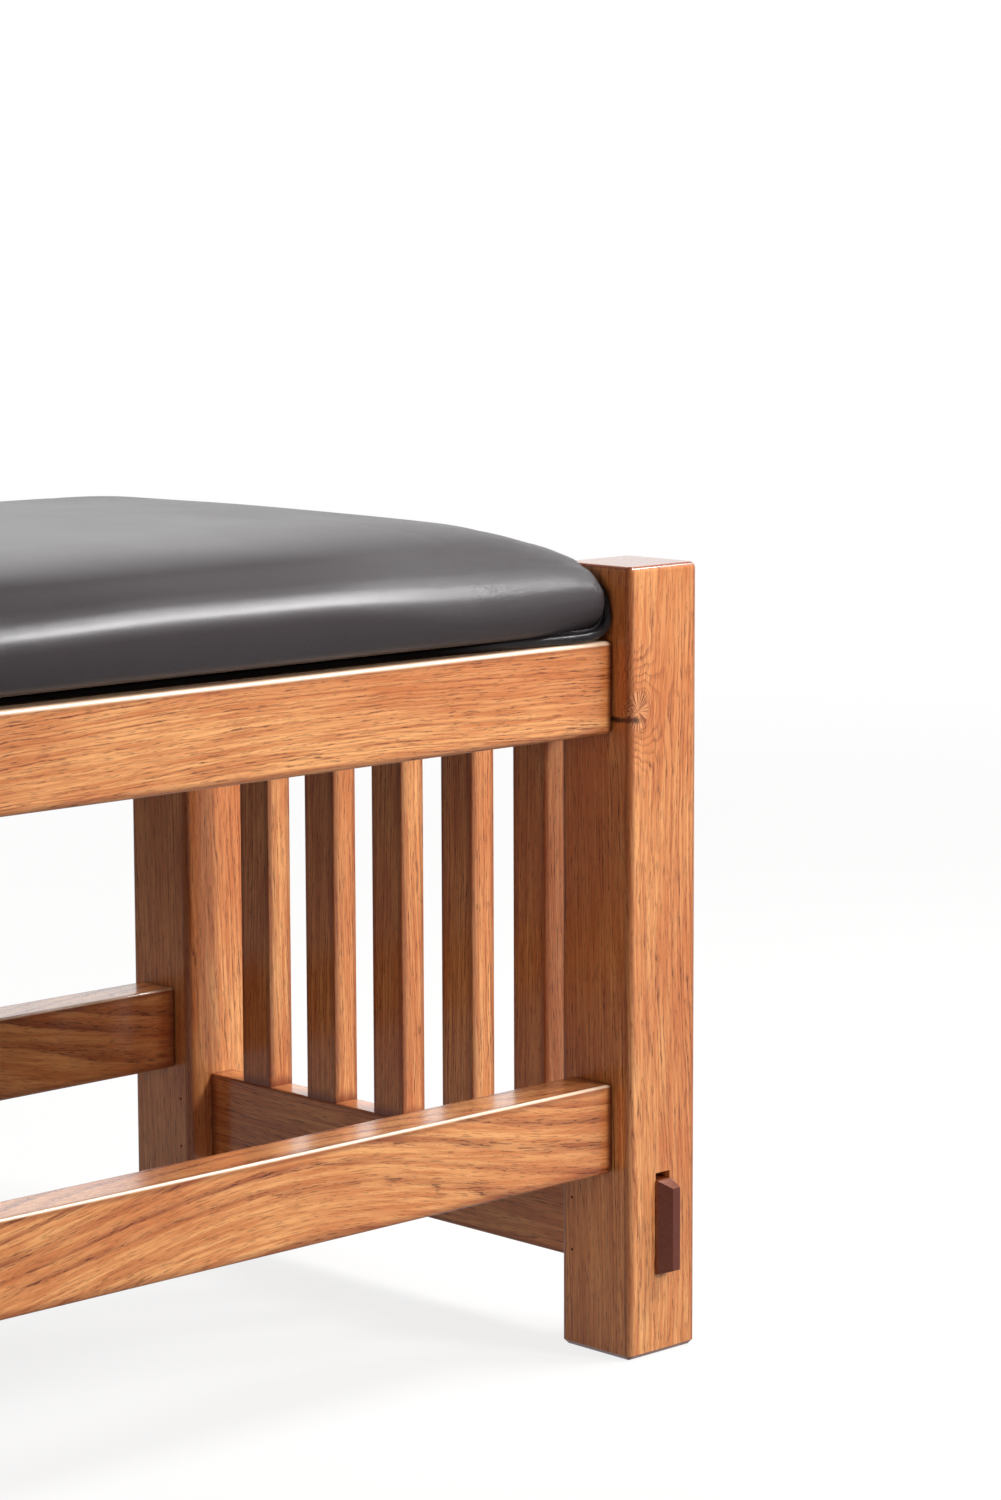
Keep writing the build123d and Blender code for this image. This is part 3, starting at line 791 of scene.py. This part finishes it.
def puff(seat):
    """Swell the skin under pressure, then cap its moves, even them out and fade them at the edges."""
    start = points_of(seat.data)
    stapled = seat.vertex_groups.new(name="stapled")
    stapled.add(np.flatnonzero(start[:, 2] < board_bottom + skin_step / 4).tolist(), 1.0, "REPLACE")
    cloth = seat.modifiers.new("puff", "CLOTH")
    cloth.settings.vertex_group_mass = stapled.name
    cloth.settings.use_pressure = True
    cloth.settings.uniform_pressure_force = puff_pressure
    cloth.settings.effector_weights.gravity = 0
    for number in range(1, puff_frames + 1):
        scene.frame_set(number)
    applied(seat)
    scene.frame_set(1)
    moves = points_of(seat.data) - start
    lengths = np.linalg.norm(moves, axis=1, keepdims=True)
    moves *= np.minimum(1, puff_limit / np.maximum(lengths, puff_limit / 100))
    x, y = abs(start[:, 0]), abs(start[:, 1])
    from_post = np.hypot(np.maximum(notch_x - x, 0), np.maximum(notch_y - y, 0))
    inward = np.minimum(from_post, np.minimum(end_x - x, side_y - y))
    moves = evened(seat.data, moves, puff_rounds) * np.clip(inward / still_reach, 0, 1)[:, None]
    set_points(seat.data, start + moves)
    print("puffed by up to", round(float(lengths.max()) * 1000, 1), "mm, capped at", puff_limit * 1000)


puff(seat)
finer = seat.modifiers.new("finer", "SUBSURF")
finer.levels = 1
applied(seat)
print("seat points:", len(seat.data.vertices))

# %% [markdown]
# The foam's solid has a plain round shoulder. Real leather rolls over much more
# slowly: it falls away over the last 84 mm, turns steeply just above its widest
# line and then drops nearly straight to its lower edge. One formula, a rounded
# curve between an ellipse and a square, gives both shapes, so each point keeps
# its place in plan and moves from the first curve to the second. The long shoulders
# sag a little toward the posts and at the middle.

# %% Two shapes of the seat's top
plain_top = {"reach": 0.030, "power": 2.0}
plain_side = {"half": side_y, "top": crown_height, "drop": 0.0060, "level": 0.4266, **plain_top}
plain_end = {"half": end_x, "top": crown_height + 0.0100, "drop": 0.0230, "level": 0.4200, **plain_top}
rolled_top = {"reach": 0.084, "power": 1.93, "level": 0.4232}
rolled_side = {"half": side_y, "top": 0.4637, "drop": 0.0047, **rolled_top}
rolled_end = {"half": end_x, "top": 0.4933, "drop": 0.0491, **rolled_top}
blend_depth = 0.002
side_end_blend = 0.012
end_sag = 0.0065
end_sag_span = (0.33, 0.46)
middle_sag = 0.0030
middle_sag_span = (0.12, 0.27)
least_inward = 0.0004
least_rise = 0.001


def ramp(values, low, high):
    """Zero below low, one above high and a smooth step between them."""
    share = np.clip((values - low) / (high - low), 0, 1)
    return share * share * (3 - 2 * share)


def top_height(inward, half, top, drop, reach, power, level):
    """Height of the seat's top at a distance in from one side's widest line."""
    crown = top - drop * ((half - inward) / half) ** 2
    fall = np.clip(1 - inward / reach, 0, 1) ** power
    return level + (crown - level) * (1 - fall) ** (1 / power)


def lower_of(first, second, depth):
    """The lower of two heights, blended smoothly where they are close."""
    near = np.exp(-np.abs(first - second) / depth)
    return np.minimum(first, second) - depth * np.log1p(near)


def roll_top(x, y, z):
    """Heights moved from the plain shoulder to the slow roll of real leather."""
    in_side = np.maximum(side_y - y, least_inward)
    in_end = np.maximum(end_x - x, least_inward)
    plain = np.minimum(top_height(in_side, **plain_side), top_height(in_end, **plain_end))
    sag = end_sag * ramp(x, *end_sag_span) + middle_sag * (1 - ramp(x, *middle_sag_span))
    side_level = rolled_top["level"] - sag
    across = top_height(in_side, **{**rolled_side, "level": side_level})
    rolled = lower_of(across, top_height(in_end, **rolled_end), blend_depth)
    at_end = ramp(in_side - in_end, -side_end_blend, side_end_blend)
    widest = plain_side["level"] + (plain_end["level"] - plain_side["level"]) * at_end
    new_widest = side_level + (rolled_top["level"] - side_level) * at_end
    above = new_widest + (z - widest) * (rolled - new_widest) / np.maximum(plain - widest, least_rise)
    below = seat_bottom + (z - seat_bottom) * (new_widest - seat_bottom) / (widest - seat_bottom)
    return np.where(z > widest, above, below)


shoulder_look = 0.026
print("top over the front shoulder:", round(float(top_height(shoulder_look, **rolled_side)), 4))

# %% [markdown]
# Sculpting by hand would pull the corners down with a brush. Here each pull is a
# small rule on the points' places, which works on all four corners at once: the
# leather dips and rolls over beside each post, its upright corners are rounded,
# its lower edge droops a little and lifts again where the welt turns up, and a
# few folds gather at the corners.

# %% Pull the corners down and shape the lower edge
swell_reach = 0.020
swell_start = 0.002
swell_end = 0.006
corner_pull = 0.0036
corner_pull_reach = 0.0145
roll_radius = 0.009
upright_radius = 0.004
upright_start = 0.012
edge_droop = 0.0010
edge_droop_band = (0.012, 0.006)
edge_lift = 0.0060
edge_lift_reach = 0.060
edge_lift_band = (0.013, 0.004)
low_part = 0.5
ripple = 0.0004
ripple_band = 0.020
fold = 0.0005
fold_reach = 0.022
fold_centre = 0.004
small_fold_share = 0.6
flat_depth = 0.0012
flat_margin = 0.012


def roll(distance, radius):
    """How far a rounded edge lies below its corner at a distance in from it."""
    inside = np.clip(radius - distance, 0, radius)
    return radius - np.sqrt(radius * radius - inside * inside)


def near_edge(values, edge, band):
    """Zero where a band starts inside an edge, and one where it ends nearer the edge."""
    start, end = band
    return ramp(values, edge - start, edge - end)


def wave_over(along, across):
    """Slow waves over the seat's top, whose lengths never fall into step."""
    wave = np.sin(along * 41 + 1.3) * np.sin(across * 23 + 0.4)
    return wave + np.sin(along * 17 + across * 31)


def pull_to_shape(seat):
    """Fit the skin to the seat's sizes and draw its corners down round the posts."""
    points = points_of(seat.data)
    along, across = points[:, 0], points[:, 1]
    x, y = np.abs(along), np.abs(across)
    sign_x, sign_y = np.sign(along), np.sign(across)
    z = points[:, 2]
    z = z + seat_bottom - z.min()
    x = x * end_x / x.max()
    y = y * side_y / y.max()
    x = np.where(y > notch_y + skin_step / 2, np.minimum(x, notch_x), x)
    y = np.where(x > notch_x + skin_step / 2, np.minimum(y, notch_y), y)
    z = roll_top(x, y, z)
    past_x = ramp(x, notch_x - swell_start, notch_x + swell_end)
    past_y = ramp(y, notch_y - swell_start, notch_y + swell_end)
    beside_x = ramp(x, notch_x - swell_reach, notch_x) * past_y
    beside_y = ramp(y, notch_y - swell_reach, notch_y) * past_x
    x = x + notch_swell * beside_x
    y = y + notch_swell * beside_y

    height = np.clip((z - seat_bottom) / (crown_height - seat_bottom), 0, 1)
    in_x = np.clip(notch_x - x, 0, None)
    in_y = np.clip(notch_y - y, 0, None)
    from_post = np.hypot(in_x, in_y)
    z = z - corner_pull * np.exp(-from_post / corner_pull_reach) * ramp(height, 0.15, 0.9)
    z = z - roll(from_post, roll_radius) * ramp(height, 0.4, 0.8)

    y = y - roll(in_x, upright_radius) * ramp(y, notch_y + upright_start, side_y)
    x = x - roll(in_y, upright_radius) * ramp(x, notch_x + upright_start, end_x)
    low_share = np.clip(1 - height / low_part, 0, 1)
    near_x = np.clip(1 - in_x / edge_lift_reach, 0, 1) ** 2 * near_edge(y, side_y, edge_lift_band)
    near_y = np.clip(1 - in_y / edge_lift_reach, 0, 1) ** 2 * near_edge(x, end_x, edge_lift_band)
    z = z + edge_lift * np.maximum(near_x, near_y) * low_share
    outer = np.maximum(near_edge(y, side_y, edge_droop_band), near_edge(x, end_x, edge_droop_band))
    z = z - edge_droop * outer * low_share ** 2

    z = z + ripple * wave_over(along, across) * ramp(height, 0.7, 1.0)
    y = y + ripple * np.sin(along * 37 + 2.0) * ramp(y, side_y - ripple_band, side_y)
    gather = fold * np.exp(-from_post / fold_reach) * ramp(height, 0.25, 0.6)
    z = z + gather * np.sin(np.arctan2(in_x + fold_centre, in_y + fold_centre) * 19)
    z = z + gather * small_fold_share * np.sin(across * 520 + along * 210)

    flat = (z < seat_bottom + flat_depth) & (x < end_x - flat_margin) & (y < side_y - flat_margin)
    z = np.where(flat, seat_bottom, z)
    set_points(seat.data, np.stack((x * sign_x, y * sign_y, z), axis=1))


pull_to_shape(seat)
print("seat box:", points_of(seat.data).min(0).round(4), points_of(seat.data).max(0).round(4))

# %% [markdown]
# Underneath, the leather is turned in over the board's edge and stapled, and the
# board is covered with thin black cloth inside it. The closed skin is therefore
# opened at the bottom, and the cut edge is turned up to the board.

# %% Open the underside
flat_check = 0.0001
lip_gap = 0.0001


def open_underside(seat):
    """Cut the turned-in edge's opening out of the flat bottom."""
    mesh = bmesh.new()
    mesh.from_mesh(seat.data)
    opening = (notch_x - flange_width, notch_y - flange_width)
    for axis, half in enumerate(opening):
        for side in (-1, 1):
            level = seat_bottom + flat_check
            bottom = [face for face in mesh.faces if max(vert.co.z for vert in face.verts) < level]
            edges = {edge for face in bottom for edge in face.edges}
            verts = {vert for face in bottom for vert in face.verts}
            normal = Vector((0, 0, 0))
            normal[axis] = 1
            plane = {"plane_co": normal * half * side, "plane_no": normal}
            bmesh.ops.bisect_plane(mesh, geom=[*bottom, *edges, *verts], dist=1e-7, **plane)
    inside = []
    for face in mesh.faces:
        middle = face.calc_center_median()
        in_opening = abs(middle.x) < opening[0] and abs(middle.y) < opening[1]
        if middle.z < seat_bottom + flat_check and in_opening:
            inside.append(face)
    bmesh.ops.delete(mesh, geom=inside, context="FACES")
    rim = [edge for edge in mesh.edges if edge.is_boundary]
    turned = bmesh.ops.extrude_edge_only(mesh, edges=rim)["geom"]
    for vert in turned:
        if isinstance(vert, bmesh.types.BMVert):
            vert.co.z = board_bottom - lip_gap
    mesh.to_mesh(seat.data)
    mesh.free()
    print("opening", [round(2 * half, 4) for half in opening], "rim edges", len(rim))


open_underside(seat)
seat.data.shade_smooth()
seat.data.materials.clear()
seat.data.materials.append(leather)
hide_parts("leather_cover", "foam_core")
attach(seat, "root")

# %% [markdown]
# ## The welts
#
# A welt is a cord wrapped in a strip of the same leather and sewn into the seat's
# lower seam. Its leather is painted darker than the seat's, as painted shade. The
# seat stands on it, and at each post it turns up the corner. A curve with a round
# bevel makes it: one spline for the cord and a thinner one above it for the folded
# edge of the leather, so the seam shows as two gleams.

# %% Sew the welts
welt_radius = 0.00275
welt_clearance = 0.0003
welt_setback = 0.0140
welt_middle_share = 0.20
welt_turn_in = 0.160
seam_share = 0.40
seam_back = 0.0010
seam_inward = 0.0030
seam_flat_rise = 0.0034
seam_turned_rise = 0.0024
turn_up_point = 6


def welt_points(end, outer, top):
    """Half of a welt from its middle: along, outward and up, for the cord and the seam's fold."""
    level = rail_top + welt_radius
    cord = [
        (0, outer - welt_setback, level),
        (end * welt_middle_share, outer - welt_setback, level),
        (end - min(welt_turn_in, end * 0.6), outer - welt_setback, level),
        (end - 0.080, outer - 0.0105, level),
        (end - 0.045, outer - 0.0045, level),
        (end - 0.020, outer - 0.0018, level),
        (end - 0.006, outer - 0.0012, level + 0.0012),
        (end, outer - 0.0016, level + 0.0080),
        (end, outer - 0.0034, level + 0.0170),
        (end, outer - 0.0060, level + 0.0240),
        (end, outer - welt_setback, level + 0.0280),
        (end, outer - 0.0280, level + 0.0300),
        (end, top, level + 0.0310),
    ]
    flat, turned = cord[:turn_up_point], cord[turn_up_point:]
    seam = [(x, y - seam_back, z + seam_flat_rise) for x, y, z in flat]
    seam += [(x - seam_inward, y - seam_back, z + seam_turned_rise) for x, y, z in turned]
    return cord, seam


def make_welt(name, end, outer, top, turn):
    """A welt along one side of the seat, turned to that side by an angle."""
    data = bpy.data.curves.new(name, "CURVE")
    data.dimensions = "3D"
    data.bevel_depth = welt_radius
    data.bevel_resolution = 5
    data.resolution_u = 10
    for half, share in zip(welt_points(end, outer, top), (1.0, seam_share)):
        whole = [(-x, y, z) for x, y, z in reversed(half[1:])] + half
        spline = data.splines.new("NURBS")
        spline.points.add(len(whole) - 1)
        for point, place in zip(spline.points, whole):
            point.co = (*place, 1)
            point.radius = share
        spline.order_u = 4
        spline.use_endpoint_u = True
    welt = bpy.data.objects.new(name, data)
    scene.collection.objects.link(welt)
    shown = welt.evaluated_get(bpy.context.evaluated_depsgraph_get())
    mesh = bpy.data.meshes.new_from_object(shown)
    bpy.data.objects.remove(welt)
    mesh.transform(Matrix.Rotation(turn, 4, "Z"))
    piece = object_from(name, mesh)
    mesh.materials.clear()
    mesh.materials.append(welt_leather_painted_dark)
    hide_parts(name.replace("_cord", ""))
    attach(piece, "root")
    print(name, "faces", len(mesh.polygons))


long_end = post_inner_x - welt_clearance - welt_radius
short_end = post_inner_y - welt_clearance - welt_radius
welt_overlap = 0.001
for name, turn in (("back", 0), ("front", pi)):
    make_welt(f"{name}_welt_cord", long_end, rail_face, notch_y + welt_overlap, turn)
for name, turn in (("right", -pi / 2), ("left", pi / 2)):
    make_welt(f"{name}_welt_cord", short_end, end_rail_face, post_inner_x + welt_overlap, turn)

# %% [markdown]
# ## The dust cover
#
# Thin black cloth closes the underside of the seat. It is pulled flat and stapled,
# but it still bellies a little between its edges and the bearer at the middle. A
# grid of points lowered by a smooth rule gives that belly.

# %% Cloth under the seat
cover_low, cover_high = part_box("dust_cover")
cover_length = cover_high[0] - cover_low[0]
cover_width = cover_high[1] - cover_low[1]
cover_level = 0.4026
belly = 0.0012
pucker = 0.00012
pucker_beats = 61
threads_to_metre = 900
weave_depth = 0.0001


def make_dust_cover():
    """A fine grid of cloth with a slight belly on each side of the bearer."""
    mesh = bmesh.new()
    bmesh.ops.create_grid(mesh, x_segments=160, y_segments=40, size=1)
    for vert in mesh.verts:
        along, across = vert.co.x, vert.co.y
        drop = belly * sin(pi * along) ** 2 * (1 - across * across)
        drop += pucker * sin(along * pucker_beats) * (1 - across ** 4)
        vert.co = (along * cover_length / 2, across * cover_width / 2, cover_level - drop)
    data = bpy.data.meshes.new("dust_cover_cloth")
    mesh.to_mesh(data)
    cloth = object_from("dust_cover_cloth", data)
    material, tree, shader = new_material("dust_cover_weave", Specular_IOR_Level=0.2)
    place = add_node(tree, "TexCoord").outputs["Object"]
    parts = add_node(tree, "SeparateXYZ", {0: place}).outputs
    beat = 2 * pi * threads_to_metre
    threads = [calc(tree, "SINE", calc(tree, "MULTIPLY", parts[axis], beat)) for axis in ("X", "Y")]
    weave = spread(tree, calc(tree, "MULTIPLY", *threads), -0.6, 0.6)
    dust = spread(tree, noise(tree, place, (30, 30, 30), 4, 0.6)[0], 0.35, 0.7)
    shade = mix(tree, weave, colour(26, 25, 26), colour(48, 46, 46))
    shade = mix(tree, calc(tree, "MULTIPLY", dust, 0.25), shade, colour(88, 82, 76))
    rough = spread(tree, weave, 0.0, 1.0, 0.95, 0.8)
    finish_shader(tree, shader, shade, rough, weave, weave_depth)
    data.materials.append(material)
    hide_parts("dust_cover")
    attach(cloth, "root")
    print("dust cover", cover_length, "x", cover_width)


make_dust_cover()

# %% [markdown]
# ## Steel
#
# The screws are zinc plated, with a fine brushed and mottled surface. The brads in
# the posts are bare steel that has gone dark under the lacquer, so they read as
# small dark specks. Both are metal with an uneven roughness.

# %% Screws and brads
mottle_clouds = (900, 900, 900)
mottle_depth = 0.00002


def make_steel(name, bright, dark, rough_low, rough_high):
    """A mottled metal between two colours and two roughness values."""
    material, tree, shader = new_material(name, Metallic=1.0)
    place = add_node(tree, "TexCoord").outputs["Object"]
    mottle = spread(tree, noise(tree, place, mottle_clouds, 4, 0.65)[0], 0.35, 0.65)
    shade = mix(tree, mottle, bright, dark)
    rough = spread(tree, mottle, 0.0, 1.0, rough_low, rough_high)
    finish_shader(tree, shader, shade, rough, mottle, mottle_depth)
    return material


zinc_plate = make_steel("zinc_plate", colour(205, 202, 192), colour(150, 146, 136), 0.25, 0.5)
dark_steel = make_steel("dark_steel", colour(58, 44, 38), colour(24, 18, 16), 0.5, 0.8)
dress(["block_screws", "seat_screws"], zinc_plate)
dress(["tenon_brads"], dark_steel)
print("steel dressed")
